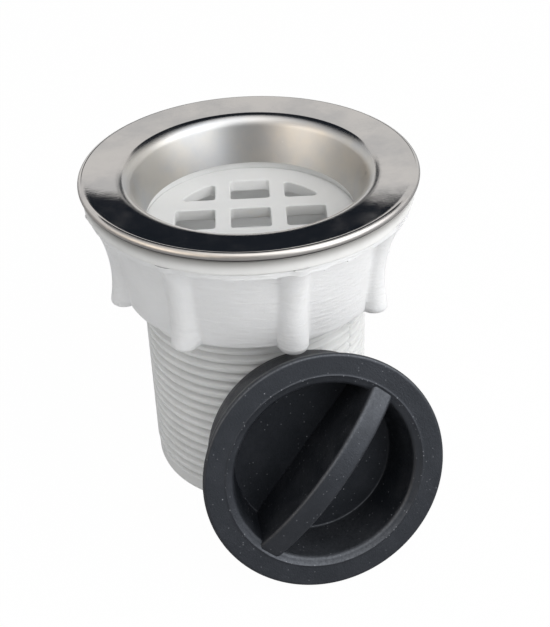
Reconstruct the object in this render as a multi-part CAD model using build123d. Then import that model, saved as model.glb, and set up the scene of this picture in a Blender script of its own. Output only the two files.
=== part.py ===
import os
from math import asin, atan2, degrees, hypot, radians, tan

from build123d import *

# Driving dimensions, in millimetres and degrees. Z is the tail's axis, and the tail's foot is at Z = 0.

# Tail and its G 1 1/2 pipe thread
thread_diameter = 47.8
tail_wall = 3.4
foot_chamfer = 0.6

# Strainer grid moulded across the tail
grid_drop = 1.6
grid_thickness = 2.6
grid_ledge = 1.9
grid_margin = 3.5
grid_opening_x = 8.4
grid_opening_y = 8.1
grid_bar_x = 3.3
grid_bar_y = 4.1
grid_corner_radius = 0.7

# Pressed steel flange and dish
flange_top = 70.15
flange_overhang = 7.4
flange_slope = 5.0
steel_thickness = 0.6
rolled_edge_radius = 0.95
rolled_edge_turn = 133.0
lip_radius = 3.0
dish_depth = 10.35
dish_taper = 17.5

# Moulded head of the body, under the steel
steel_clearance = 0.1
head_edge_clearance = 0.4
head_depth = 1.95
neck_margin = 5.6
neck_length = 2.2
neck_taper_height = 5.5

# Seal washer
washer_thickness = 3.2
washer_clearance = 0.5
washer_set_back = 0.8
washer_edge_radius = 0.5

# Backnut
nut_height = 20.85
nut_lip_set_back = 0.5
nut_lip_thickness = 1.1
nut_top_wall = 1.2
nut_foot_wall = 3.6
nut_foot_radius = 0.3
nut_thread_height = 12.0
nut_thread_clearance = 0.2
nut_neck_clearance = 1.4
nut_flare_height = 4.0

# Finger ribs round the backnut
rib_count = 8
rib_width = 6.2
rib_first_angle = -75.2
rib_stand_off = 2.65
rib_waist_rise = 6.75
rib_flare_radius = 30.6
rib_drop = 0.7
rib_end_radius = 1.8

# Rubber plug
plug_overlap = 3.0
plug_rim_thickness = 3.5
plug_rim_radius = 0.6
plug_rim_step = 2.05
plug_height = 15.2
plug_body_taper = 0.85
plug_foot_radius = 1.0
plug_foot_wall = 4.3
plug_floor = 5.2
face_ring_width = 4.65
recess_lip_width = 1.7
recess_lip_drop = 0.45
recess_lip_radius = 0.6
bar_width = 5.0
bar_crown = 4.8
bar_end_drop = 0.5
bar_edge_radius = 0.5
bar_sink = 0.3
bar_angle = 47.8

# How the plug lies against the tail
plug_facing = -76.9
plug_sideways = 2.3
plug_gap = 0.15
plug_gap_accuracy = 0.001

# Diameters that follow, from the thread outwards
tail_bore_diameter = thread_diameter - 2 * tail_wall
grid_circle_diameter = tail_bore_diameter - 2 * grid_margin
grid_seat_diameter = tail_bore_diameter + 2 * grid_ledge
dish_foot_diameter = grid_seat_diameter - 2 * steel_thickness
neck_diameter = dish_foot_diameter + 2 * neck_margin
flange_diameter = neck_diameter + 2 * flange_overhang
washer_hole_diameter = neck_diameter + 2 * washer_clearance
washer_diameter = flange_diameter - 2 * washer_set_back
nut_lip_diameter = washer_diameter - 2 * nut_lip_set_back
nut_thread_diameter = thread_diameter + 2 * nut_thread_clearance
nut_foot_diameter = nut_thread_diameter + 2 * nut_foot_wall
nut_mouth_diameter = neck_diameter + 2 * nut_neck_clearance
nut_wall_top_diameter = nut_mouth_diameter + 2 * nut_top_wall
rib_waist_diameter = nut_foot_diameter + 2 * rib_stand_off

# Heights that follow, from the flange's top downwards
dish_foot_height = flange_top - dish_depth
grid_top = dish_foot_height - grid_drop
grid_foot = grid_top - grid_thickness
head_foot = flange_top - head_depth
neck_height = head_foot - neck_length
neck_foot_height = neck_height - neck_taper_height
nut_top = head_foot - washer_thickness
nut_lip_foot = nut_top - nut_lip_thickness
nut_foot = nut_top - nut_height
nut_thread_top = nut_foot + nut_thread_height
rib_foot = nut_foot - rib_drop
rib_waist_height = nut_foot + rib_waist_rise

# Sizes of the plug that follow, from the dish that it stops
plug_diameter = dish_foot_diameter + 2 * plug_overlap
plug_rim_back_diameter = plug_diameter - 2 * plug_rim_thickness * tan(radians(dish_taper))
plug_shoulder_diameter = plug_rim_back_diameter - 2 * plug_rim_step
plug_foot_diameter = plug_shoulder_diameter - 2 * plug_body_taper
recess_mouth_diameter = plug_diameter - 2 * face_ring_width
recess_throat_diameter = recess_mouth_diameter - 2 * recess_lip_width
recess_floor_diameter = plug_foot_diameter - 2 * plug_foot_wall
recess_depth = plug_height - plug_floor


def revolved(outline):
    """Turn a closed outline, drawn with X as the radius and Y as the height, about the tail's axis."""
    return revolve(Plane.XZ * make_face(outline), Axis.Z)


def steel_line(radius_loss):
    """The steel's section from the foot of the dish to the rolled edge, set back from its outer surface."""
    flat_normal = Vector(0, 1).rotate(Axis.Z, flange_slope)
    wall_normal = Vector(-1, 0).rotate(Axis.Z, -dish_taper)
    wall_way = Vector(0, 1).rotate(Axis.Z, -dish_taper)
    dish_foot = Vector(dish_foot_diameter / 2, dish_foot_height)
    roll_centre = Vector(flange_diameter / 2 - rolled_edge_radius, flange_top - rolled_edge_radius)
    below_foot = dish_foot - wall_normal * lip_radius
    room = (roll_centre - below_foot).dot(flat_normal) + rolled_edge_radius - lip_radius
    lip_centre = below_foot + wall_way * (room / wall_way.dot(flat_normal))
    lip = lip_radius - radius_loss
    roll = rolled_edge_radius - radius_loss
    throat = CenterArc(lip_centre, lip, 180 - dish_taper, dish_taper + flange_slope - 90)
    edge = CenterArc(roll_centre, roll, 90 + flange_slope, -flange_slope - rolled_edge_turn)
    wall = Line(dish_foot - wall_normal * radius_loss, throat @ 0)
    return wall, throat, Line(throat @ 1, edge @ 0), edge


def make_steel_flange():
    outer = steel_line(0)
    inner = steel_line(steel_thickness)
    ends = [Line(outer[0] @ 0, inner[0] @ 0), Line(outer[-1] @ 1, inner[-1] @ 1)]
    return revolved([*outer, *inner, *ends])


def grid_openings():
    """The strainer's square holes, in three rows of three, trimmed by one circle."""
    pitch_x = grid_opening_x + grid_bar_x
    pitch_y = grid_opening_y + grid_bar_y
    squares = GridLocations(pitch_x, pitch_y, 3, 3) * Rectangle(grid_opening_x, grid_opening_y)
    holes = Circle(grid_circle_diameter / 2) & Sketch() + squares
    return Sketch() + [fillet(hole.vertices(), grid_corner_radius) for hole in holes.faces()]


def make_waste_body():
    bore = tail_bore_diameter / 2
    thread = thread_diameter / 2
    seat = grid_seat_diameter / 2
    neck = neck_diameter / 2
    head_edge = flange_diameter / 2 - steel_thickness - head_edge_clearance
    flat = steel_line(steel_thickness)[2]
    head_start = flat @ 0
    head_slope = flat % 0
    head_rim = head_start + head_slope * ((head_edge - head_start.X) / head_slope.X)
    wall, throat = steel_line(steel_thickness + steel_clearance)[:2]
    wall_foot = wall @ 0
    outline = [
        wall,
        throat,
        *Polyline(
            throat @ 1,
            head_start,
            head_rim,
            (head_edge, head_foot),
            (neck, head_foot),
            (neck, neck_height),
            (thread, neck_foot_height),
            (thread, foot_chamfer),
            (thread - foot_chamfer, 0),
            (bore, 0),
            (bore, grid_foot),
            (0, grid_foot),
            (0, grid_top),
            (seat, grid_top),
            (seat, wall_foot.Y),
            wall_foot,
        ).edges(),
    ]
    holes = Pos(0, 0, grid_foot) * extrude(grid_openings(), grid_thickness)
    return revolved(outline) - holes


def make_seal_washer():
    ring = Circle(washer_diameter / 2) - Circle(washer_hole_diameter / 2)
    washer = extrude(Pos(0, 0, nut_top) * ring, washer_thickness)
    outer_edges = washer.edges().filter_by(GeomType.CIRCLE).sort_by(SortBy.RADIUS)[-2:]
    return fillet(outer_edges, washer_edge_radius)


def make_rib():
    """One round finger rib with a hollow-curved back and a flat, eased foot, drawn along +X."""
    half = rib_width / 2
    flare_centre = rib_waist_diameter / 2 - half + rib_flare_radius
    rib_top = (nut_top + nut_lip_foot) / 2
    spine_foot = rib_foot - half

    def spine_radius(height):
        return flare_centre - (rib_flare_radius**2 - (height - rib_waist_height) ** 2) ** 0.5

    foot = (spine_radius(spine_foot), spine_foot)
    waist = (spine_radius(rib_waist_height), rib_waist_height)
    spine = Plane.XZ * ThreePointArc(foot, waist, (spine_radius(rib_top), rib_top))
    rod = sweep(Plane(origin=spine @ 0, z_dir=spine % 0) * Circle(half), spine)
    envelope = Pos(0, 0, rib_foot) * Cylinder(
        nut_lip_diameter / 2, nut_top - rib_foot, align=(Align.CENTER, Align.CENTER, Align.MIN)
    )
    rib = rod & envelope
    return fillet(rib.faces().sort_by(Axis.Z)[0].edges(), rib_end_radius)


def make_backnut():
    lip = nut_lip_diameter / 2
    skirt = revolved(
        Polyline(
            (0, nut_foot),
            (nut_foot_diameter / 2, nut_foot),
            (nut_wall_top_diameter / 2, nut_lip_foot),
            (lip, nut_lip_foot),
            (lip, nut_top),
            (0, nut_top),
            close=True,
        )
    )
    rim = skirt.edges().filter_by(GeomType.CIRCLE).sort_by(Axis.Z)[0]
    skirt = fillet(rim, nut_foot_radius)
    ribs = PolarLocations(0, rib_count, rib_first_angle - 90) * make_rib()
    thread = nut_thread_diameter / 2
    mouth = nut_mouth_diameter / 2
    inside = revolved(
        Polyline(
            (0, rib_foot),
            (thread, rib_foot),
            (thread, nut_thread_top),
            (mouth, nut_thread_top + nut_flare_height),
            (mouth, nut_top),
            (0, nut_top),
            close=True,
        )
    )
    return skirt + ribs - inside


def make_plug():
    """The plug with its face at Z = 0 and its body below."""
    shell = revolved(
        Polyline(
            (0, 0),
            (plug_diameter / 2, 0),
            (plug_rim_back_diameter / 2, -plug_rim_thickness),
            (plug_shoulder_diameter / 2, -plug_rim_thickness),
            (plug_foot_diameter / 2, -plug_height),
            (0, -plug_height),
            close=True,
        )
    )
    circles = shell.edges().filter_by(GeomType.CIRCLE)
    shell = fillet(circles.sort_by(SortBy.RADIUS)[-2:], plug_rim_radius)
    foot_edge = shell.edges().filter_by(GeomType.CIRCLE).sort_by(Axis.Z)[0]
    shell = fillet(foot_edge, plug_foot_radius)
    recess = revolved(
        Polyline(
            (0, 0),
            (recess_mouth_diameter / 2, 0),
            (recess_throat_diameter / 2, -recess_lip_drop),
            (recess_floor_diameter / 2, -recess_depth),
            (0, -recess_depth),
            close=True,
        )
    )
    shell = shell - recess
    throat = shell.edges().filter_by_position(Axis.Z, -recess_lip_drop, -recess_lip_drop)
    throat = throat.filter_by(GeomType.CIRCLE).sort_by(SortBy.RADIUS)[0]
    return fillet(throat, recess_lip_radius) + make_bar()


def make_bar():
    """The finger bar: an arched web from one side of the recess to the other, sunk into its wall."""
    half_span = recess_mouth_diameter / 2 + bar_sink
    crown = ThreePointArc((-half_span, -bar_end_drop), (0, bar_crown), (half_span, -bar_end_drop))
    foot = Polyline(crown @ 1, (half_span, -recess_depth), (-half_span, -recess_depth), crown @ 0)
    web = extrude(Plane.XZ * make_face([*crown.edges(), *foot.edges()]), bar_width / 2, both=True)
    crown_edges = web.edges().filter_by(GeomType.CIRCLE)
    web = fillet(crown_edges, bar_edge_radius)
    trim = Pos(0, 0, -recess_depth) * Cone(
        recess_floor_diameter / 2 + bar_sink,
        half_span,
        recess_depth,
        align=(Align.CENTER, Align.CENTER, Align.MIN),
    )
    trim += Cylinder(half_span, bar_crown, align=(Align.CENTER, Align.CENTER, Align.MIN))
    return Rot(0, 0, bar_angle) * (web & trim)


def plug_lean():
    """The tilt of the plug's axis as it lies on the edge of its face and the edge of its foot."""
    drop = plug_diameter / 2 - plug_rim_radius - (plug_foot_diameter / 2 - plug_foot_radius)
    run = plug_height - plug_foot_radius - plug_rim_radius
    return degrees(atan2(drop, run) - asin((plug_foot_radius - plug_rim_radius) / hypot(drop, run)))


def lay_plug(plug, supports):
    """Lay the plug on the edges of its face and foot, and slide it to the tail until it meets a support."""
    leaning = Rot(0, 0, plug_facing) * Rot(0, 90 - plug_lean(), 0) * Rot(0, 0, 90) * plug
    box = leaning.bounding_box()
    distance = nut_lip_diameter / 2 + box.size.length

    def placed(reach):
        shift = Pos(reach, plug_sideways, -box.min.Z)
        return Rot(0, 0, plug_facing) * shift * Rot(0, 0, -plug_facing) * leaning

    def clearance(reach):
        return min(placed(reach).distance_to(support) for support in supports)

    while clearance(distance) > plug_gap + plug_gap_accuracy:
        distance -= clearance(distance) - plug_gap
    return placed(distance)


body = make_waste_body()
backnut = make_backnut()
nodes = {
    "steel_flange": make_steel_flange(),
    "waste_body": body,
    "seal_washer": make_seal_washer(),
    "backnut": backnut,
    "plug": lay_plug(make_plug(), [body, backnut]),
}

os.makedirs("parts", exist_ok=True)
for name, solid in nodes.items():
    export_step(solid, f"parts/{name}.step")
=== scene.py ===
import math

import bmesh
import bpy
import numpy as np
from mathutils import Matrix, Vector


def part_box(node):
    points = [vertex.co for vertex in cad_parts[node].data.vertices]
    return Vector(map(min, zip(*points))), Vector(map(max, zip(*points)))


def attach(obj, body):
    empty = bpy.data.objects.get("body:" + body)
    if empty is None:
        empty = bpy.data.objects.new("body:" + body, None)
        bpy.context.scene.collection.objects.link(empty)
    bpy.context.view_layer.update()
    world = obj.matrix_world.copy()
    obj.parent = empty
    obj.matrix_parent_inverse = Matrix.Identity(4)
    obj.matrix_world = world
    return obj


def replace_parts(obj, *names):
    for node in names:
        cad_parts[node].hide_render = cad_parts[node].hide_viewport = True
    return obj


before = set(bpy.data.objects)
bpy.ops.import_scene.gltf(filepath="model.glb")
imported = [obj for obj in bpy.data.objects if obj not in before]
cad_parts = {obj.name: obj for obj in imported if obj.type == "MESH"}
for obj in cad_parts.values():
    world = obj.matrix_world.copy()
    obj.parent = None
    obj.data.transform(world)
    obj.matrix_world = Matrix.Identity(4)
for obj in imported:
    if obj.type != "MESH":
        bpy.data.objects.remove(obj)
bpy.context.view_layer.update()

MM = 0.001
TURN = 2 * math.pi

# Sizes of the pieces in millimetres. Z is the tail's axis and its foot is at Z = 0.
PITCH = 2.309
THREAD_RADIUS = 23.9
THREAD_DEPTH = 1.45
THREAD_CREST_WIDTH = 0.9
THREAD_FLANK = 21.0
THREAD_CREST_HEIGHT = 37.41
THREAD_START = 2.8
THREAD_END = 58.0
THREAD_FADE = 1.2
THREAD_ROWS_PER_TURN = 16
PLAIN_LOSS = 0.25
PARTING_ANGLE = math.radians(-35)
PARTING_DEPTH = 0.4
PARTING_WIDTH = 0.28
TAIL_SEGMENTS = 176
FOOT_EASE = 0.6
LEDGE_DROP = 1.0
BORE_RADIUS = 20.5
GRID_TOP = 58.2
GRID_THICKNESS = 2.6
GRID_SEAT_RADIUS = 22.4
GRID_CIRCLE_RADIUS = 17.0
GRID_OPENING = (8.4, 8.1)
GRID_BAR = (3.3, 4.1)
GRID_CORNER_RADIUS = 0.8
GRID_EDGE_RADIUS = 0.25
NECK_RADIUS = 27.4
NECK_HEIGHT = 66.0
NECK_FOOT_HEIGHT = 60.5

FLANGE_RADIUS = 34.8
FLANGE_TOP = 70.15
FLANGE_SLOPE = 5.0
STEEL_THICKNESS = 0.6
STEEL_CLEARANCE = 0.1
ROLL_RADIUS = 0.95
ROLL_TURN = 133.0
LIP_RADIUS = 3.0
DISH_FOOT_RADIUS = 21.8
DISH_FOOT_HEIGHT = 59.8
DISH_TAPER = 17.5
HEAD_EDGE_RADIUS = 33.8
HEAD_FOOT = 68.2

WASHER_RADIUS = 34.0
WASHER_HOLE_RADIUS = 27.9
WASHER_EASE = 0.5
WASHER_SWELL = 0.06
NUT_TOP = 65.0
NUT_FOOT = 44.15
NUT_LIP_RADIUS = 33.5
NUT_LIP_THICKNESS = 1.1
NUT_WALL_TOP_RADIUS = 30.0
NUT_FOOT_RADIUS = 27.7
NUT_THREAD_RADIUS = 24.1
NUT_THREAD_TOP = 56.15
NUT_MOUTH_RADIUS = 28.8
NUT_MOUTH_FOOT = 60.15
RIB_COUNT = 8
RIB_HALF_WIDTH = 3.1
RIB_FIRST_ANGLE = math.radians(-75.2 - 90)
RIB_WAIST_RADIUS = 30.35
RIB_WAIST_HEIGHT = 50.9
RIB_FLARE_RADIUS = 30.6
RIB_FOOT = 43.45
RIB_FOOT_EASE = 1.4
RIB_BLEND = 0.45
RIB_SEGMENTS = 56

PLUG_RADIUS = 24.8
PLUG_RIM_THICKNESS = 3.5
PLUG_RIM_BACK_RADIUS = PLUG_RADIUS - PLUG_RIM_THICKNESS * math.tan(math.radians(DISH_TAPER))
PLUG_EDGE_RADIUS = 0.6
PLUG_HEIGHT = 15.2
PLUG_SHOULDER_RADIUS = PLUG_RIM_BACK_RADIUS - 2.05
PLUG_FOOT_RADIUS = PLUG_SHOULDER_RADIUS - 0.85
RECESS_MOUTH_RADIUS = 20.15
RECESS_THROAT_RADIUS = 18.45
RECESS_FLOOR_RADIUS = 16.5
RECESS_DEPTH = 10.0
RECESS_LIP_DROP = 0.45
RECESS_LIP_RADIUS = 1.2
BAR_WIDTH = 5.0
BAR_CROWN = 4.8
BAR_END_DROP = 0.5
BAR_EDGE_RADIUS = 0.8
BAR_SINK = 0.3
BAR_FLOOR_SINK = 0.4
BAR_DRAFT = 0.15
BAR_ANGLE = math.radians(47.8)
PLUG_FACING = math.radians(-76.9)
PLUG_LEAN = math.radians(16.336)


# Outlines, as rows of (radius, height)
def arc(centre, radius, start, end, steps):
    """Points of an arc between two angles in degrees, ends included."""
    angles = np.radians(np.linspace(start, end, steps))
    return np.stack([centre[0] + radius * np.cos(angles), centre[1] + radius * np.sin(angles)], axis=1)


def run(start, end, steps=2):
    """Points of a straight run, ends included."""
    return np.linspace(start, end, steps)


def joined(*stretches):
    return np.concatenate([np.atleast_2d(stretch) for stretch in stretches])


def steel_outline(loss):
    """The steel's section, set back from its outer surface: dish wall, lip, flat and rolled edge."""
    slope, taper = math.radians(FLANGE_SLOPE), math.radians(DISH_TAPER)
    flat_normal = np.array([-math.sin(slope), math.cos(slope)])
    wall_normal = np.array([-math.cos(taper), math.sin(taper)])
    wall_way = np.array([math.sin(taper), math.cos(taper)])
    dish_foot = np.array([DISH_FOOT_RADIUS, DISH_FOOT_HEIGHT])
    roll_centre = np.array([FLANGE_RADIUS - ROLL_RADIUS, FLANGE_TOP - ROLL_RADIUS])
    below_foot = dish_foot - wall_normal * LIP_RADIUS
    room = (roll_centre - below_foot) @ flat_normal + ROLL_RADIUS - LIP_RADIUS
    lip_centre = below_foot + wall_way * room / (wall_way @ flat_normal)
    throat = arc(lip_centre, LIP_RADIUS - loss, 180 - DISH_TAPER, 90 + FLANGE_SLOPE, 24)
    edge = arc(roll_centre, ROLL_RADIUS - loss, 90 + FLANGE_SLOPE, 90 - ROLL_TURN, 22)
    wall = run(dish_foot - wall_normal * loss, throat[0], 16)[:-1]
    flat = run(throat[-1], edge[0], 14)[1:-1]
    return wall, throat, flat, edge


# Meshes
def new_object(name, mesh, material):
    piece = bpy.data.objects.new(name, mesh)
    bpy.context.scene.collection.objects.link(piece)
    mesh.materials.append(material)
    return piece


def ring_faces(rows, segments, closed):
    index = np.arange(rows * segments).reshape(rows, segments)
    start = index if closed else index[:-1]
    above = np.roll(index, -1, axis=0) if closed else index[1:]
    corners = [start, np.roll(start, -1, axis=1), np.roll(above, -1, axis=1), above]
    return np.stack(corners, axis=-1).reshape(-1, 4)


def ring_mesh(name, radius, height, angles, closed=True, sharp=40):
    """A surface from rows of rings; open rows end in one point each on the axis."""
    rows, segments = radius.shape
    points = np.stack([radius * np.cos(angles), radius * np.sin(angles), height], axis=-1).reshape(-1, 3)
    faces = ring_faces(rows, segments, closed).tolist()
    if not closed:
        first, last = len(points), len(points) + 1
        points = np.concatenate([points, [[0, 0, height[0, 0]], [0, 0, height[-1, 0]]]])
        top = (rows - 1) * segments
        for i in range(segments):
            following = (i + 1) % segments
            faces.append((first, following, i))
            faces.append((last, top + i, top + following))
    return finished_mesh(name, points, faces, sharp)


def finished_mesh(name, points, faces, sharp):
    mesh = bpy.data.meshes.new(name)
    mesh.from_pydata((np.asarray(points) * MM).tolist(), [], [tuple(face) for face in faces])
    shape = bmesh.new()
    shape.from_mesh(mesh)
    bmesh.ops.recalc_face_normals(shape, faces=shape.faces)
    shape.to_mesh(mesh)
    shape.free()
    mesh.shade_smooth()
    mesh.set_sharp_from_angle(angle=math.radians(sharp))
    return mesh


def take_in(mesh, other, sharp):
    """Add another mesh to this one and remove the other."""
    shape = bmesh.new()
    shape.from_mesh(mesh)
    shape.from_mesh(other)
    shape.to_mesh(mesh)
    shape.free()
    bpy.data.meshes.remove(other)
    mesh.shade_smooth()
    mesh.set_sharp_from_angle(angle=math.radians(sharp))


def even_angles(segments):
    return np.arange(segments) * TURN / segments


def turned(outline, angles):
    """An outline's rows spread round the axis: radii, heights and angles."""
    radius = np.repeat(outline[:, :1], len(angles), axis=1)
    height = np.repeat(outline[:, 1:], len(angles), axis=1)
    return radius, height, angles


def smooth_min(a, b, width):
    mix = np.clip(0.5 + 0.5 * (b - a) / width, 0, 1)
    return b + (a - b) * mix - width * mix * (1 - mix)


def smooth_max(a, b, width):
    return -smooth_min(-a, -b, width)


def smooth_noise(seed, count, spread):
    """A ring of noise about zero, smoothed over a number of neighbours."""
    values = np.random.default_rng(seed).normal(size=count)
    reach = np.arange(-3 * spread, 3 * spread + 1)
    weights = np.exp(-0.5 * (reach / spread) ** 2)
    smoothed = sum(w * np.roll(values, int(k)) for k, w in zip(reach, weights))
    return smoothed / np.std(smoothed)


# Materials
def new_material(name):
    material = bpy.data.materials.new(name)
    material.use_nodes = True
    tree = material.node_tree
    return material, tree, tree.nodes["Principled BSDF"]


def add(tree, kind, links=(), **settings):
    """A shader node, with its settings, and its input sockets linked or set by name or number."""
    made = tree.nodes.new(kind)
    for key, value in settings.items():
        setattr(made, key, value)
    for socket, value in links:
        if isinstance(value, bpy.types.NodeSocket):
            tree.links.new(value, made.inputs[socket])
        else:
            made.inputs[socket].default_value = value
    return made


def place(tree, scale=(1, 1, 1)):
    """The piece's own coordinates in metres, scaled."""
    coordinates = add(tree, "ShaderNodeTexCoord").outputs["Object"]
    return add(tree, "ShaderNodeMapping", [("Vector", coordinates), ("Scale", scale)]).outputs["Vector"]


def noise(tree, vector, scale, detail=3.0, roughness=0.5):
    settings = [("Scale", scale), ("Detail", detail), ("Roughness", roughness)]
    made = add(tree, "ShaderNodeTexNoise", [("Vector", vector), *settings])
    return made.outputs["Fac"]


def spread(tree, value, from_low, from_high, to_low=0.0, to_high=1.0):
    limits = [("From Min", from_low), ("From Max", from_high), ("To Min", to_low), ("To Max", to_high)]
    made = add(tree, "ShaderNodeMapRange", [("Value", value), *limits], interpolation_type="SMOOTHSTEP")
    return made.outputs["Result"]


def math_node(tree, operation, a, b=0.0):
    return add(tree, "ShaderNodeMath", [(0, a), (1, b)], operation=operation).outputs["Value"]


def product(tree, a, b):
    return math_node(tree, "MULTIPLY", a, b)


def largest(tree, a, b):
    return math_node(tree, "MAXIMUM", a, b)


def vector_node(tree, operation, a, b=(0, 0, 0)):
    return add(tree, "ShaderNodeVectorMath", [(0, a), (1, b)], operation=operation).outputs


def parts_of(tree, vector):
    """The X, Y and Z of a vector."""
    return add(tree, "ShaderNodeSeparateXYZ", [(0, vector)]).outputs


def mixed(tree, factor, a, b):
    made = add(tree, "ShaderNodeMix", [("Factor", factor)], data_type="RGBA")
    colours = [socket for socket in made.inputs if socket.type == "RGBA"]
    for socket, value in zip(colours, (a, b)):
        if isinstance(value, bpy.types.NodeSocket):
            tree.links.new(value, socket)
        else:
            socket.default_value = (*value, 1)
    return next(socket for socket in made.outputs if socket.type == "RGBA")


def bump(tree, shader, layers):
    """Stack bump layers of (height, depth in metres)."""
    normal = None
    for height, depth in layers:
        made = add(tree, "ShaderNodeBump", [("Height", height), ("Distance", depth), ("Strength", 1.0)])
        if normal is not None:
            tree.links.new(normal, made.inputs["Normal"])
        normal = made.outputs["Normal"]
    tree.links.new(normal, shader.inputs["Normal"])


def specks(tree, vector, scale, size, share):
    """One inside scattered specks, each of a size against its cell, in a share of the cells."""
    cells = add(tree, "ShaderNodeTexVoronoi", [("Vector", vector), ("Scale", scale)])
    near = spread(tree, cells.outputs["Distance"], size, size / 2)
    pick = add(tree, "ShaderNodeSeparateColor", [(0, cells.outputs["Color"])]).outputs[0]
    return product(tree, near, math_node(tree, "GREATER_THAN", pick, 1 - share))


def axis_distance(tree):
    """Distance from the tail's axis, in metres."""
    return vector_node(tree, "LENGTH", place(tree, (1, 1, 0)))["Value"]


def steel_material():
    """A polished flat, satin dish and rolled edge, with smudges, dust and painted shade below the edge."""
    material, tree, shader = new_material("stainless_steel")
    here = place(tree)
    radius = axis_distance(tree)
    _, forth, height = parts_of(tree, here)
    front_half = spread(tree, forth, 16 * MM, -4 * MM)
    foremost = spread(tree, forth, -16 * MM, -26 * MM)
    dish = spread(tree, radius, 26.6 * MM, 25.2 * MM)
    lip = product(tree, spread(tree, radius, 27.5 * MM, 26.6 * MM), front_half)
    edge = product(tree, spread(tree, radius, 34.05 * MM, 34.25 * MM), foremost)
    rolled = largest(tree, edge, spread(tree, radius, 34.3 * MM, 34.6 * MM))
    satin = largest(tree, product(tree, lip, 0.4), largest(tree, dish, rolled))
    smudge = spread(tree, noise(tree, here, 110, 6, 0.65), 0.46, 0.72)
    haze = spread(tree, noise(tree, here, 70, 6, 0.62), 0.35, 0.68)
    tint = mixed(tree, haze, (0.515, 0.492, 0.47), (0.415, 0.405, 0.397))
    brushed = mixed(tree, haze, (0.50, 0.482, 0.45), (0.43, 0.435, 0.445))
    clean = mixed(tree, dish, tint, brushed)
    # Painted shade: the steel below the rolled edge is darkened to near black, standing in for the shadow
    # there.
    below_edge = spread(tree, height, 69.0 * MM, 68.7 * MM)
    under = product(tree, below_edge, spread(tree, radius, 33.0 * MM, 33.5 * MM))
    shade_below_edge = mixed(tree, under, clean, (0.05, 0.05, 0.055))
    dust = specks(tree, here, 900.0, 0.2, 0.03)
    tree.links.new(mixed(tree, dust, shade_below_edge, (0.5, 0.5, 0.5)), shader.inputs["Base Color"])
    polished = math_node(tree, "ADD", product(tree, smudge, 0.05), 0.035)
    rough = add(tree, "ShaderNodeMix", [("Factor", satin), (2, polished), (3, 0.38)], data_type="FLOAT")
    tree.links.new(rough.outputs[0], shader.inputs["Roughness"])
    film = largest(tree, product(tree, smudge, 0.024), product(tree, dust, 0.25))
    tree.links.new(math_node(tree, "SUBTRACT", 1.0, film), shader.inputs["Metallic"])
    bump(tree, shader, [(noise(tree, here, 2500, 2), 0.000002), (noise(tree, here, 160, 3), 0.000008)])
    return material


def white_plastic(name, colour, ripple):
    """A moulding with faint clouds, dirt specks and flow ripples of a depth in metres."""
    material, tree, shader = new_material(name)
    here = place(tree)
    cloud = spread(tree, noise(tree, here, 120, 4), 0.3, 0.75)
    darker = tuple(channel * 0.95 for channel in colour)
    clean = mixed(tree, cloud, colour, darker)
    dirt = specks(tree, here, 260.0, 0.1, 0.06)
    tree.links.new(mixed(tree, dirt, clean, (0.36, 0.36, 0.35)), shader.inputs["Base Color"])
    rough = spread(tree, noise(tree, here, 300, 3), 0.3, 0.7, 0.38, 0.5)
    tree.links.new(rough, shader.inputs["Roughness"])
    shader.inputs["Specular IOR Level"].default_value = 0.4
    shader.inputs["Subsurface Weight"].default_value = 0.12
    shader.inputs["Subsurface Radius"].default_value = (1.0, 0.95, 0.85)
    shader.inputs["Subsurface Scale"].default_value = 0.0012
    flowed = noise(tree, place(tree, (0.35, 0.35, 2.2)), 700, 4, 0.6)
    bump(tree, shader, [(noise(tree, here, 1800, 3), 0.00002), (flowed, ripple)])
    return material


def washer_material():
    """A soft matt ring, with painted shade darkening it towards the steel above."""
    material, tree, shader = new_material("soft_washer")
    here = place(tree)
    cloud = spread(tree, noise(tree, here, 150, 4), 0.3, 0.75)
    clean = mixed(tree, cloud, (0.78, 0.78, 0.77), (0.72, 0.72, 0.71))
    height = parts_of(tree, here)["Z"]
    # Painted shade: darker towards the top, where the steel's rim overhangs the washer.
    rim_shade = spread(tree, height, (NUT_TOP + 0.8) * MM, HEAD_FOOT * MM)
    tree.links.new(mixed(tree, rim_shade, clean, (0.30, 0.295, 0.285)), shader.inputs["Base Color"])
    shader.inputs["Roughness"].default_value = 0.6
    shader.inputs["Specular IOR Level"].default_value = 0.3
    bump(tree, shader, [(noise(tree, here, 1500, 3), 0.00003)])
    return material


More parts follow.
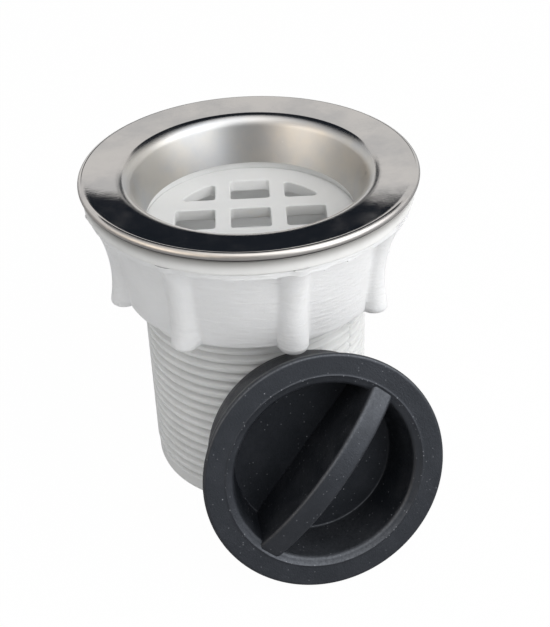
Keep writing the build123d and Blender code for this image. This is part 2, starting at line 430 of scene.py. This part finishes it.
def rubber_material(centre, axis):
    """Dusty black rubber, with more dust along the ring at the recess's mouth, and a lighter grainy colour
    where it faces up, partly dust and partly painted light from above.
    """
    material, tree, shader = new_material("black_rubber")
    here = place(tree)
    film = spread(tree, noise(tree, here, 180, 5, 0.65), 0.4, 0.75)
    bare = mixed(tree, film, (0.0075, 0.009, 0.0115), (0.014, 0.0155, 0.019))

    from_face = vector_node(tree, "SUBTRACT", here, centre)["Vector"]
    depth = vector_node(tree, "DOT_PRODUCT", from_face, axis)["Value"]
    aside = vector_node(tree, "CROSS_PRODUCT", from_face, axis)["Vector"]
    radius = vector_node(tree, "LENGTH", aside)["Value"]
    within = spread(tree, radius, 19.5 * MM, 18 * MM)
    inner = product(tree, spread(tree, depth, -2 * MM, -7 * MM), within)
    tree.links.new(spread(tree, inner, 0.0, 1.0, 0.55, 0.26), shader.inputs["Specular IOR Level"])

    # Partly dust, partly painted light: faces turned up in the world are lightened, as light from above
    # would do.
    normal = add(tree, "ShaderNodeNewGeometry").outputs["Normal"]
    upright = parts_of(tree, normal)["Z"]
    facing = vector_node(tree, "DOT_PRODUCT", normal, axis)["Value"]
    grain = spread(tree, noise(tree, here, 1600, 4, 0.7), 0.3, 0.7, 0.4, 1.0)
    on_top = product(tree, spread(tree, facing, 0.55, 0.85), spread(tree, upright, 0.38, 0.7))
    on_wall = product(tree, spread(tree, upright, 0.7, 0.95), 0.25)
    dust_and_top_light = product(tree, largest(tree, on_top, on_wall), grain)
    dusted_and_top_lit = mixed(tree, dust_and_top_light, bare, (0.085, 0.09, 0.099))

    off_ring = math_node(tree, "SUBTRACT", radius, RECESS_MOUTH_RADIUS * MM)
    near_ring = spread(tree, math_node(tree, "ABSOLUTE", off_ring), 0.5 * MM, 0.15 * MM)
    ring = product(tree, near_ring, specks(tree, here, 1900.0, 0.3, 0.3))
    coarse = specks(tree, here, 1100.0, 0.16, 0.02)
    fine = specks(tree, here, 1500.0, 0.28, 0.12)
    scattered = largest(tree, coarse, product(tree, fine, 0.3))
    dust = largest(tree, scattered, product(tree, ring, 0.7))
    tree.links.new(mixed(tree, dust, dusted_and_top_lit, (0.24, 0.25, 0.27)), shader.inputs["Base Color"])

    rough = spread(tree, noise(tree, here, 250, 3), 0.3, 0.7, 0.42, 0.56)
    tree.links.new(rough, shader.inputs["Roughness"])
    shader.inputs["Specular Tint"].default_value = (0.84, 0.89, 1.0, 1)
    bump(tree, shader, [(noise(tree, here, 2600, 3, 0.6), 0.00006), (noise(tree, here, 240, 3), 0.00008)])
    return material


# Pieces
def make_steel_flange():
    outer = joined(*steel_outline(0))
    inner = joined(*steel_outline(STEEL_THICKNESS))[::-1]
    mesh = ring_mesh("steel_flange_pressing", *turned(joined(outer, inner), even_angles(288)), sharp=50)
    piece = new_object("steel_flange_pressing", mesh, steel_material())
    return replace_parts(piece, "steel_flange")


def thread_loss(height, angle):
    """How far the tail's surface lies inside its right-handed thread's crest, with notched partings."""
    turns = (height - THREAD_CREST_HEIGHT) / PITCH - (angle - math.pi) / TURN
    from_crest = np.abs(turns - np.round(turns)) * PITCH
    flank = (from_crest - THREAD_CREST_WIDTH / 2) / math.tan(math.radians(THREAD_FLANK))
    cut = smooth_min(smooth_max(flank, 0 * flank, 0.3), 0 * flank + THREAD_DEPTH, 0.25)
    fade_in = np.clip((height - THREAD_START) / THREAD_FADE, 0, 1)
    fade_out = np.clip((THREAD_END - height) / THREAD_FADE, 0, 1)
    from_parting = THREAD_RADIUS * np.abs(np.sin(angle - PARTING_ANGLE))
    notch = PARTING_DEPTH * np.exp(-((from_parting / PARTING_WIDTH) ** 2))
    return PLAIN_LOSS + (cut + notch - PLAIN_LOSS) * fade_in * fade_out


def tail_angles():
    """Even steps round the tail, with closer ones at the two parting lines."""
    even = even_angles(TAIL_SEGMENTS)
    close = np.radians([-1.6, -1.0, -0.6, -0.3, 0, 0.3, 0.6, 1.0, 1.6])
    partings = np.concatenate([PARTING_ANGLE + close, PARTING_ANGLE + math.pi + close]) % TURN
    from_partings = np.abs(THREAD_RADIUS * np.sin(even[:, None] - partings[None, :]))
    clear = np.all(from_partings > 0.2, axis=1)
    return np.sort(np.concatenate([even[clear], partings]))


def opening_outline(column, row):
    """One hole of the grid: a rectangle cut by the circle, with its corners rounded."""
    round_off = GRID_CORNER_RADIUS
    centre = np.array([column * (GRID_OPENING[0] + GRID_BAR[0]), row * (GRID_OPENING[1] + GRID_BAR[1])])
    half = np.array(GRID_OPENING) / 2 - round_off
    low, high = centre - half, centre + half
    limit = GRID_CIRCLE_RADIUS - round_off
    edge = np.linspace(0, 1, 121)[:, None]
    corners = np.array([low, (high[0], low[1]), high, (low[0], high[1])])
    sides = [start + edge * (end - start) for start, end in zip(corners, np.roll(corners, -1, axis=0))]
    ring = arc((0, 0), limit, 0, 360, 721)
    points = np.concatenate([*sides, ring])
    inside = np.hypot(*points.T) < limit + 1e-6
    inside &= np.all((points > low - 1e-6) & (points < high + 1e-6), axis=1)
    points = points[inside]
    directions = arc((0, 0), 1, 0, 360, 97)[:-1]
    support = points[np.argmax(points @ directions.T, axis=0)]
    return support + round_off * directions


def grid_disc():
    """The strainer disc with its nine openings and eased edges, as a mesh."""
    curve = bpy.data.curves.new("strainer_outline", "CURVE")
    curve.dimensions = "2D"
    curve.fill_mode = "BOTH"
    curve.extrude = (GRID_THICKNESS / 2 - GRID_EDGE_RADIUS) * MM
    curve.bevel_depth = GRID_EDGE_RADIUS * MM
    curve.bevel_resolution = 3
    curve.offset = -GRID_EDGE_RADIUS * MM
    outlines = [arc((0, 0), GRID_SEAT_RADIUS, 0, 360, 193)[:-1]]
    outlines += [opening_outline(column, row) for column in (-1, 0, 1) for row in (-1, 0, 1)]
    for outline in outlines:
        spline = curve.splines.new("POLY")
        spline.points.add(len(outline) - 1)
        for point, (x, y) in zip(spline.points, outline):
            point.co = (x * MM, y * MM, 0, 1)
        spline.use_cyclic_u = True
    holder = bpy.data.objects.new("strainer_outline", curve)
    mesh = bpy.data.meshes.new_from_object(holder)
    bpy.data.objects.remove(holder)
    bpy.data.curves.remove(curve)
    mesh.transform(Matrix.Translation((0, 0, (GRID_TOP - GRID_THICKNESS / 2) * MM)))
    return mesh


def make_waste_body():
    ledge = GRID_TOP - LEDGE_DROP
    wall, throat = steel_outline(STEEL_THICKNESS + STEEL_CLEARANCE)[:2]
    seat = joined(wall, throat)[::-1]
    head_start = steel_outline(STEEL_THICKNESS)[1][-1]
    head_rise = (HEAD_EDGE_RADIUS - head_start[0]) * math.tan(math.radians(FLANGE_SLOPE))
    thread_rows = int((THREAD_END - FOOT_EASE) / PITCH * THREAD_ROWS_PER_TURN)
    thread = run((THREAD_RADIUS, FOOT_EASE), (THREAD_RADIUS, THREAD_END), thread_rows)
    lower = run((BORE_RADIUS, ledge), (BORE_RADIUS, 0), 6)
    foot = np.array([(THREAD_RADIUS - 0.85, 0), (THREAD_RADIUS - 0.4, 0.15)])
    upper = joined(
        (THREAD_RADIUS, NECK_FOOT_HEIGHT),
        (NECK_RADIUS, NECK_HEIGHT),
        (NECK_RADIUS, HEAD_FOOT),
        (HEAD_EDGE_RADIUS, HEAD_FOOT),
        (HEAD_EDGE_RADIUS, head_start[1] + head_rise),
        head_start,
        seat,
        (GRID_SEAT_RADIUS, seat[-1][1]),
        (GRID_SEAT_RADIUS, ledge),
    )
    radius, height, angles = turned(joined(lower, foot, thread, upper), tail_angles())
    first = len(lower) + len(foot)
    rows = slice(first, first + len(thread))
    radius[rows] -= thread_loss(height[rows], angles[None, :])
    mesh = ring_mesh("waste_body_moulding", radius, height, angles, sharp=42)
    take_in(mesh, grid_disc(), sharp=42)
    material = white_plastic("white_body", (0.80, 0.805, 0.80), 0.000015)
    piece = new_object("waste_body_moulding", mesh, material)
    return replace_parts(piece, "waste_body")


def make_seal_washer():
    ease = WASHER_EASE
    outer = joined(
        arc((WASHER_RADIUS - ease, NUT_TOP + ease), ease, -90, 0, 7),
        arc((WASHER_RADIUS - ease, HEAD_FOOT - ease), ease, 0, 90, 7),
    )
    outline = joined((WASHER_HOLE_RADIUS, NUT_TOP), outer, (WASHER_HOLE_RADIUS, HEAD_FOOT))
    radius, height, angles = turned(outline, even_angles(240))
    radius[1:-1] += WASHER_SWELL * smooth_noise(11, len(angles), 9)
    mesh = ring_mesh("seal_washer_ring", radius, height, angles)
    piece = new_object("seal_washer_ring", mesh, washer_material())
    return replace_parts(piece, "seal_washer")


def rib_distance(radius, height, angle):
    """Distance to the surface of the nearest finger rib, below zero inside it, with an eased flat foot."""
    step = TURN / RIB_COUNT
    off = np.mod(angle - RIB_FIRST_ANGLE + step / 2, step) - step / 2
    along, across = radius * np.cos(off), radius * np.sin(off)
    flare_centre = RIB_WAIST_RADIUS - RIB_HALF_WIDTH + RIB_FLARE_RADIUS
    from_spine = np.hypot(along - flare_centre, height - RIB_WAIST_HEIGHT) - RIB_FLARE_RADIUS
    rod = np.hypot(from_spine, across) - RIB_HALF_WIDTH
    return smooth_max(rod, RIB_FOOT - height, RIB_FOOT_EASE)


def nut_distance(radius, height, angle, flash, sag):
    """Distance to the outer surface of the backnut, below zero inside it; its lip has a ragged flash."""
    lip_foot = NUT_TOP - NUT_LIP_THICKNESS
    slope = (NUT_WALL_TOP_RADIUS - NUT_FOOT_RADIUS) / (lip_foot - NUT_FOOT)
    wall = radius - NUT_FOOT_RADIUS - slope * (height - NUT_FOOT)
    skirt = smooth_max(wall, NUT_FOOT - height, 0.35)
    body = smooth_min(skirt, rib_distance(radius, height, angle), RIB_BLEND)
    fin = flash * np.clip((height - lip_foot - 0.4) / 0.3, 0, 1)
    lip = smooth_max(radius - NUT_LIP_RADIUS - fin, lip_foot - sag - height, 0.2)
    return smooth_max(smooth_min(body, lip, 0.5), height - NUT_TOP, 0.12)


def cast(origins, directions, angles, flash, sag, reach=14.0):
    """Follow each row's ray in the section at every angle to where it leaves the nut."""
    shape = (len(origins), len(angles))
    origin = np.broadcast_to(origins[:, None, :], (*shape, 2))
    direction = np.broadcast_to(directions[:, None, :], (*shape, 2))
    angle = np.broadcast_to(angles, shape)
    near, far = np.zeros(shape), np.full(shape, np.nan)

    def outside(length):
        point = origin + length[..., None] * direction
        return nut_distance(point[..., 0], point[..., 1], angle, flash, sag) > 0

    steps = np.linspace(0, reach, 113)
    for start, end in zip(steps, steps[1:]):
        leaving = np.isnan(far) & outside(np.full(shape, end))
        near[leaving], far[leaving] = start, end
    for _ in range(24):
        middle = (near + far) / 2
        out = outside(middle)
        far = np.where(out, middle, far)
        near = np.where(out, near, middle)
    point = origin + far[..., None] * direction
    return point[..., 0], point[..., 1]


def make_backnut():
    angles = even_angles(RIB_COUNT * RIB_SEGMENTS)
    patches = np.clip(smooth_noise(8, len(angles), 12), 0, None)
    torn = np.clip(np.cos(angles + math.radians(50)), 0, 1) ** 2
    flash = 0.10 + 0.12 * np.clip(smooth_noise(5, len(angles), 3) * patches, -0.5, 2.5)
    sag = 0.05 + (0.08 + 0.22 * torn) * np.clip(smooth_noise(21, len(angles), 2.5), 0, 2)
    hub = (26.0, 48.0)
    fan = np.radians(np.linspace(-4, -150, 48))
    heights = np.concatenate([np.linspace(64.96, 63.4, 14), np.linspace(63.0, 48.6, 34)])
    starts = np.where(heights > 62, 29.2, hub[0])
    origins = joined(np.stack([starts, heights], axis=1), np.repeat([hub], len(fan), axis=0))
    directions = joined(
        np.repeat([(1.0, 0.0)], len(heights), axis=0),
        np.stack([np.cos(fan), np.sin(fan)], axis=1),
    )
    radius, height = cast(origins, directions, angles, flash, sag)
    inside = joined(
        (NUT_THREAD_RADIUS, NUT_FOOT + 0.6),
        (NUT_THREAD_RADIUS, NUT_THREAD_TOP),
        (NUT_MOUTH_RADIUS, NUT_MOUTH_FOOT),
        (NUT_MOUTH_RADIUS, NUT_TOP),
        (NUT_LIP_RADIUS - 1.0, NUT_TOP),
    )
    inner_radius, inner_height, _ = turned(inside, angles)
    mesh = ring_mesh(
        "backnut_moulding",
        np.concatenate([radius, inner_radius]),
        np.concatenate([height, inner_height]),
        angles,
        sharp=48,
    )
    material = white_plastic("white_nut", (0.82, 0.825, 0.83), 0.00025)
    piece = new_object("backnut_moulding", mesh, material)
    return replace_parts(piece, "backnut")


def recess_radius(height):
    """The radius of the recess's wall at a height below the face."""
    share = (RECESS_DEPTH + height) / (RECESS_DEPTH - RECESS_LIP_DROP)
    return RECESS_FLOOR_RADIUS + (RECESS_THROAT_RADIUS - RECESS_FLOOR_RADIUS) * share


def plug_shell():
    """The turned form of the plug, its face at height zero and its recess open upward."""
    ease, lip, floor_ease = PLUG_EDGE_RADIUS, RECESS_LIP_RADIUS, 0.5
    corner = math.tan(math.radians(90 - DISH_TAPER) / 2)
    floor_corner = (RECESS_FLOOR_RADIUS - floor_ease * 0.8, floor_ease - RECESS_DEPTH)
    wall_height = RECESS_DEPTH - RECESS_LIP_DROP
    wall_angle = math.atan2(wall_height, RECESS_THROAT_RADIUS - RECESS_FLOOR_RADIUS)
    lip_angle = math.atan2(RECESS_LIP_DROP, RECESS_MOUTH_RADIUS - RECESS_THROAT_RADIUS)
    wall_lean, lip_lean = math.degrees(wall_angle), math.degrees(lip_angle)
    along = lip * math.tan((wall_angle - lip_angle) / 2)
    lip_centre = (
        RECESS_THROAT_RADIUS + along * math.cos(lip_angle) + lip * math.sin(lip_angle),
        -RECESS_LIP_DROP + along * math.sin(lip_angle) - lip * math.cos(lip_angle),
    )
    bead = [(-0.14, -0.01), (-0.06, 0.05), (0.06, 0.06), (0.14, 0.0)]
    outline = joined(
        run((2.0, -RECESS_DEPTH), (RECESS_FLOOR_RADIUS - floor_ease, -RECESS_DEPTH), 8),
        arc(floor_corner, floor_ease, -90, -15, 6)[1:],
        run((recess_radius(-8.8), -8.8), (recess_radius(-1.6), -1.6), 8),
        arc(lip_centre, lip, wall_lean + 90, lip_lean + 90, 9),
        [(RECESS_MOUTH_RADIUS + out, up) for out, up in bead],
        run((RECESS_MOUTH_RADIUS + 0.5, 0), (PLUG_RADIUS - ease / corner - 0.1, 0), 6),
        arc((PLUG_RADIUS - ease / corner, -ease), ease, 90, -DISH_TAPER, 8),
        arc((PLUG_RIM_BACK_RADIUS - ease * corner, ease - PLUG_RIM_THICKNESS), ease, -DISH_TAPER, -90, 8),
        run((PLUG_SHOULDER_RADIUS, -PLUG_RIM_THICKNESS), (PLUG_FOOT_RADIUS + 0.06, 1 - PLUG_HEIGHT), 8),
        arc((PLUG_FOOT_RADIUS - 1, 1 - PLUG_HEIGHT), 1, -4, -90, 7),
        (2.0, -PLUG_HEIGHT),
    )
    return ring_mesh("plug_shell", *turned(outline, even_angles(240)), closed=False, sharp=45)


def plug_bar():
    """The arched web across the recess, sunk a little into its floor and wall."""
    half, ease = BAR_WIDTH / 2, BAR_EDGE_RADIUS
    span = RECESS_MOUTH_RADIUS + BAR_SINK
    rise = BAR_CROWN + BAR_END_DROP
    crown_radius = (span**2 + rise**2) / (2 * rise)
    top = joined(
        arc((ease - half, -ease), ease, 180, 90, 7),
        run((ease - half, 0), (half - ease, 0), 6)[1:-1],
        arc((half - ease, -ease), ease, 90, 0, 7),
    )
    levels = np.linspace(0, 1, 9)[1:]
    foot_reach = RECESS_FLOOR_RADIUS + BAR_SINK
    stations = np.linspace(-1, 1, 61)
    points = []
    for along in stations:
        crown = BAR_CROWN - crown_radius + math.sqrt(crown_radius**2 - (along * span) ** 2)
        depth = RECESS_DEPTH + BAR_FLOOR_SINK + crown - ease
        right = [(half + BAR_DRAFT * level, crown - ease - depth * level) for level in levels]
        left = [(-across, height) for across, height in right[::-1]]
        ring = left + [(across, crown + height) for across, height in top] + right
        for across, height in ring:
            share = max(1 + min(height, 0) / RECESS_DEPTH, 0)
            reach = foot_reach + (span - foot_reach) * share
            points.append((along * reach, across, height))
    count = len(ring)
    faces = []
    last = (len(stations) - 1) * count
    for start in range(0, last, count):
        for j in range(count):
            following = (j + 1) % count
            after = start + count
            faces.append((start + j, start + following, after + following, after + j))
    faces.append(tuple(range(count)))
    faces.append(tuple(last + j for j in range(count)))
    mesh = finished_mesh("plug_bar", points, faces, 40)
    mesh.transform(Matrix.Rotation(BAR_ANGLE, 4, "Z"))
    return mesh


def make_plug():
    mesh = plug_shell()
    take_in(mesh, plug_bar(), sharp=45)
    lean = Matrix.Rotation(PLUG_FACING, 4, "Z") @ Matrix.Rotation(math.pi / 2 - PLUG_LEAN, 4, "Y")
    mesh.transform(lean @ Matrix.Rotation(math.pi / 2, 4, "Z"))
    corners = np.array([vertex.co for vertex in mesh.vertices])
    low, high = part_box("plug")
    shift = (low + high) / 2 - Vector((corners.min(0) + corners.max(0)) / 2)
    mesh.transform(Matrix.Translation(shift))
    material = rubber_material(shift, lean @ Vector((0, 0, 1)))
    piece = new_object("plug_moulding", mesh, material)
    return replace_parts(piece, "plug")


# Stage, light and camera
def make_floor():
    """White to the camera apart from the object's shadow, and grey paper in reflections."""
    mesh = bpy.data.meshes.new("floor")
    size = 3.0
    corners = [(-size, -size, 0), (size, -size, 0), (size, size, 0), (-size, size, 0)]
    mesh.from_pydata(corners, [], [(0, 1, 2, 3)])
    floor = bpy.data.objects.new("floor", mesh)
    bpy.context.scene.collection.objects.link(floor)
    material = bpy.data.materials.new("floor")
    material.use_nodes = True
    tree = material.node_tree
    tree.nodes.clear()
    path = add(tree, "ShaderNodeLightPath").outputs
    share = product(tree, path["Is Camera Ray"], 0.985)
    paper = mixed(tree, path["Is Glossy Ray"], (0.9, 0.9, 0.9), (0.5, 0.5, 0.51))
    matt = add(tree, "ShaderNodeBsdfDiffuse", [("Color", paper)]).outputs[0]
    glow = add(tree, "ShaderNodeEmission", [("Color", (1, 1, 1, 1)), ("Strength", 1.0)]).outputs[0]
    blend = add(tree, "ShaderNodeMixShader", [(0, share), (1, matt), (2, glow)])
    add(tree, "ShaderNodeOutputMaterial", [("Surface", blend.outputs[0])])
    mesh.materials.append(material)


def make_world():
    """White to the camera; glossy pieces mirror a studio with dark and tinted parts."""
    world = bpy.data.worlds.new("studio")
    bpy.context.scene.world = world
    world.use_nodes = True
    tree = world.node_tree
    tree.nodes.clear()
    x, y, z = parts_of(tree, add(tree, "ShaderNodeTexCoord").outputs["Generated"])
    across = math_node(tree, "ABSOLUTE", x)

    # A low dark strip and a dark ceiling behind the object
    lean = add(tree, "ShaderNodeClamp", [("Value", x), ("Min", -0.03), ("Max", 0.03)]).outputs[0]
    leaned = math_node(tree, "ADD", z, product(tree, lean, 0.42))
    limited = math_node(tree, "MINIMUM", math_node(tree, "SUBTRACT", across, 0.03), 0.022)
    outward = largest(tree, limited, 0.0)
    strip_top = math_node(tree, "SUBTRACT", leaned, product(tree, outward, 0.75))
    strip = product(tree, spread(tree, z, 0.25, 0.28), spread(tree, strip_top, 0.4265, 0.4145))
    strip = product(tree, strip, spread(tree, across, 0.30, 0.22))
    ceiling = product(tree, spread(tree, z, 0.585, 0.61), spread(tree, z, 0.99, 0.94))
    dark = product(tree, spread(tree, y, 0.05, 0.3), largest(tree, strip, ceiling))

    # A dim middle ahead of it, and the levels for each kind of ray
    front = spread(tree, y, 0.1, -0.3)
    middle = product(tree, spread(tree, across, 0.5, 0.2), spread(tree, z, 0.65, 0.35))
    ahead = product(tree, front, product(tree, middle, 0.7))
    mirrored = math_node(tree, "SUBTRACT", 1.0, largest(tree, dark, ahead))
    path = add(tree, "ShaderNodeLightPath").outputs
    glossy = path["Is Glossy Ray"]
    direct = largest(tree, path["Is Camera Ray"], path["Is Transmission Ray"])
    level = math_node(tree, "ADD", direct, product(tree, glossy, mirrored))
    lit = math_node(tree, "SUBTRACT", 1.0, largest(tree, direct, glossy))
    strength = math_node(tree, "ADD", level, product(tree, lit, 0.44))

    # Tinted sides, with a warm window on the left
    sides = mixed(tree, spread(tree, x, -0.5, 0.5), (1.18, 1.09, 0.99), (0.93, 0.97, 1.0))
    window = product(tree, spread(tree, x, -0.4, -0.75), spread(tree, z, 0.6, 0.4))
    warmed = mixed(tree, window, sides, (2.3, 2.0, 1.65))
    colour = mixed(tree, product(tree, glossy, front), (1, 1, 1), warmed)
    sky = add(tree, "ShaderNodeBackground", [("Color", colour), ("Strength", strength)])
    shade = product(tree, glossy, dark)
    gloom = add(tree, "ShaderNodeBackground", [("Color", (0.020, 0.025, 0.034, 1)), ("Strength", shade)])
    both = add(tree, "ShaderNodeAddShader", [(0, sky.outputs[0]), (1, gloom.outputs[0])])
    add(tree, "ShaderNodeOutputWorld", [("Surface", both.outputs[0])])


def make_lamp(name, position, target, size, watts):
    lamp = bpy.data.lights.new(name, "AREA")
    lamp.shape = "DISK"
    lamp.size = size
    lamp.energy = watts
    holder = bpy.data.objects.new(name, lamp)
    holder.visible_camera = False
    holder.location = position
    holder.rotation_euler = (Vector(target) - Vector(position)).to_track_quat("-Z", "Y").to_euler()
    bpy.context.scene.collection.objects.link(holder)


def make_camera():
    """The photograph's camera, fitted to the flange, thread and foot ellipses."""
    focal_pixels, picture_height = 1252.455, 627
    yaw, pitch, roll = 0.0185, 0.5941, -0.0396
    forward = Vector((math.sin(yaw) * math.cos(pitch), math.cos(yaw) * math.cos(pitch), -math.sin(pitch)))
    level = Vector((math.cos(yaw), -math.sin(yaw), 0))
    upright = level.cross(forward)
    right = math.cos(roll) * level + math.sin(roll) * upright
    up = math.cos(roll) * upright - math.sin(roll) * level
    data = bpy.data.cameras.new("camera")
    data.sensor_width = 36.0
    data.lens = focal_pixels * data.sensor_width / picture_height
    data.clip_start, data.clip_end = 0.01, 20.0
    camera = bpy.data.objects.new("camera", data)
    axes = Matrix((right, up, -forward)).transposed().to_4x4()
    camera.matrix_world = Matrix.Translation((0, -0.22829, 0.18781)) @ axes
    bpy.context.scene.collection.objects.link(camera)
    bpy.context.scene.camera = camera


for make in (make_steel_flange, make_waste_body, make_seal_washer, make_backnut, make_plug):
    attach(make(), "root")

make_floor()
make_world()
make_lamp("key", (0.56, -0.33, 0.40), (0, 0, 0.04), 0.95, 4.7)
make_lamp("fill", (-0.5, -0.35, 0.25), (0, 0, 0.04), 0.4, 0.2)
make_lamp("top", (0.05, -0.25, 0.75), (0, 0, 0.04), 0.6, 1.2)
make_lamp("bore", (0, 0.004, 0.053), (0, 0.0205, 0.050), 0.01, 0.0006)
make_camera()
bpy.context.scene.view_settings.view_transform = "Standard"
